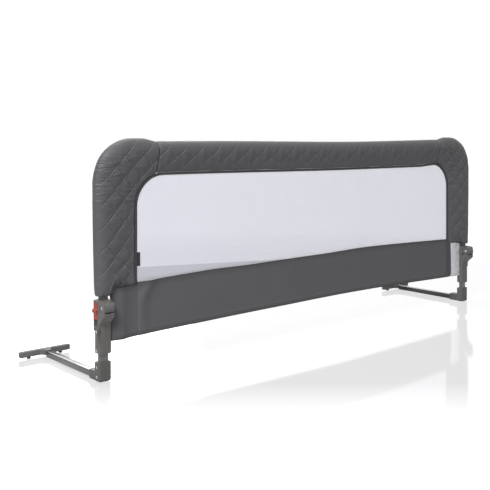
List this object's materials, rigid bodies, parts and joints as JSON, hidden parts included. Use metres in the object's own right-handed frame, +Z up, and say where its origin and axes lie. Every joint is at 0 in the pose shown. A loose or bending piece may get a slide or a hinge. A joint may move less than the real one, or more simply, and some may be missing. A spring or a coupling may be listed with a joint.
{
  "type": "folding bed guard rail",
  "caption": "Bed guard rail: a quilted tube frame with a mesh window stands on two folding hinges whose arms go under the mattress.",
  "frame": {"origin": "on the floor plane under the elbows and foot pegs, at the middle of the whole rail's length and depth", "axes": "+X along the rail, seen from the outside from left to right; +Y towards the bed, along the arms; +Z up"},
  "size_m": [1.373, 0.2942, 0.4959],
  "materials": {
    "steel": "satin powder coat, warm grey",
    "plastic": "fine grained moulding, warm grey",
    "rubber": "matte",
    "release": "satin red",
    "bright": "bright",
    "cover": "quilted woven fabric, dark grey, slight sheen",
    "band": "plain woven fabric, dark grey, slight sheen",
    "binding": "woven tape, dark grey",
    "mesh": "fine knitted mesh, pale grey, see-through",
    "tape": "smooth woven tape, pale grey, bare"
  },
  "bodies": {
    "left_base": {"left_arm_tube": "steel", "left_foot_bar": "plastic", "left_foot_pad_outer": "rubber", "left_foot_pad_inner": "rubber", "left_elbow_outer_shell": "plastic", "left_elbow_inner_shell": "plastic", "left_elbow_upper_screw": "bright", "left_elbow_lower_screw": "bright", "left_leg_tube": "steel", "left_housing_outer_shell": "plastic", "left_housing_inner_shell": "plastic", "left_housing_upper_screw": "bright", "left_housing_lower_screw": "bright", "left_pivot_pin": "bright", "left_latch_spring": "bright"},
    "left_latch": {"left_release_button": "release", "left_latch_bolt": "plastic"},
    "panel": {"left_knuckle": "plastic", "left_knuckle_rivet": "bright", "left_corner_tube": "steel", "left_tube_joiner": "steel", "left_snap_button": "bright", "left_side_cover": "cover", "right_knuckle": "plastic", "right_knuckle_rivet": "bright", "right_corner_tube": "steel", "right_tube_joiner": "steel", "right_snap_button": "bright", "right_side_cover": "cover", "top_tube": "steel", "top_cover": "cover", "window_binding": "binding", "mesh_window": "mesh", "lower_band": "band", "end_tape": "tape", "side_tab": "binding"},
    "right_base": {"right_arm_tube": "steel", "right_foot_bar": "plastic", "right_foot_pad_outer": "rubber", "right_foot_pad_inner": "rubber", "right_elbow_outer_shell": "plastic", "right_elbow_inner_shell": "plastic", "right_elbow_upper_screw": "bright", "right_elbow_lower_screw": "bright", "right_leg_tube": "steel", "right_housing_outer_shell": "plastic", "right_housing_inner_shell": "plastic", "right_housing_upper_screw": "bright", "right_housing_lower_screw": "bright", "right_pivot_pin": "bright", "right_latch_spring": "bright"},
    "right_latch": {"right_release_button": "release", "right_latch_bolt": "plastic"}
  },
  "joints": [
    {"name": "left_fold", "type": "hinge", "parent": "left_base", "child": "panel", "pos_m": [-0.623, -0.13515, 0.1525], "axis": [1, 0, 0], "range_deg": [0, 160]},
    {"name": "right_fold", "type": "hinge", "parent": "panel", "child": "right_base", "pos_m": [0.623, -0.13515, 0.1525], "axis": [1, 0, 0], "range_deg": [-160, 0]},
    {"name": "left_button_slide", "type": "slide", "parent": "left_base", "child": "left_latch", "axis": [0, 0, -1], "range_m": [0, 0.014], "stiffness_N_per_m": 300, "springref_m": -0.004, "deforming": ["left_latch_spring"]},
    {"name": "right_button_slide", "type": "slide", "parent": "right_base", "child": "right_latch", "axis": [0, 0, -1], "range_m": [0, 0.014], "stiffness_N_per_m": 300, "springref_m": -0.004, "deforming": ["right_latch_spring"]}
  ],
  "couplings": [
    {"joint": "right_fold", "follows": "left_fold", "ratio": -1}
  ]
}
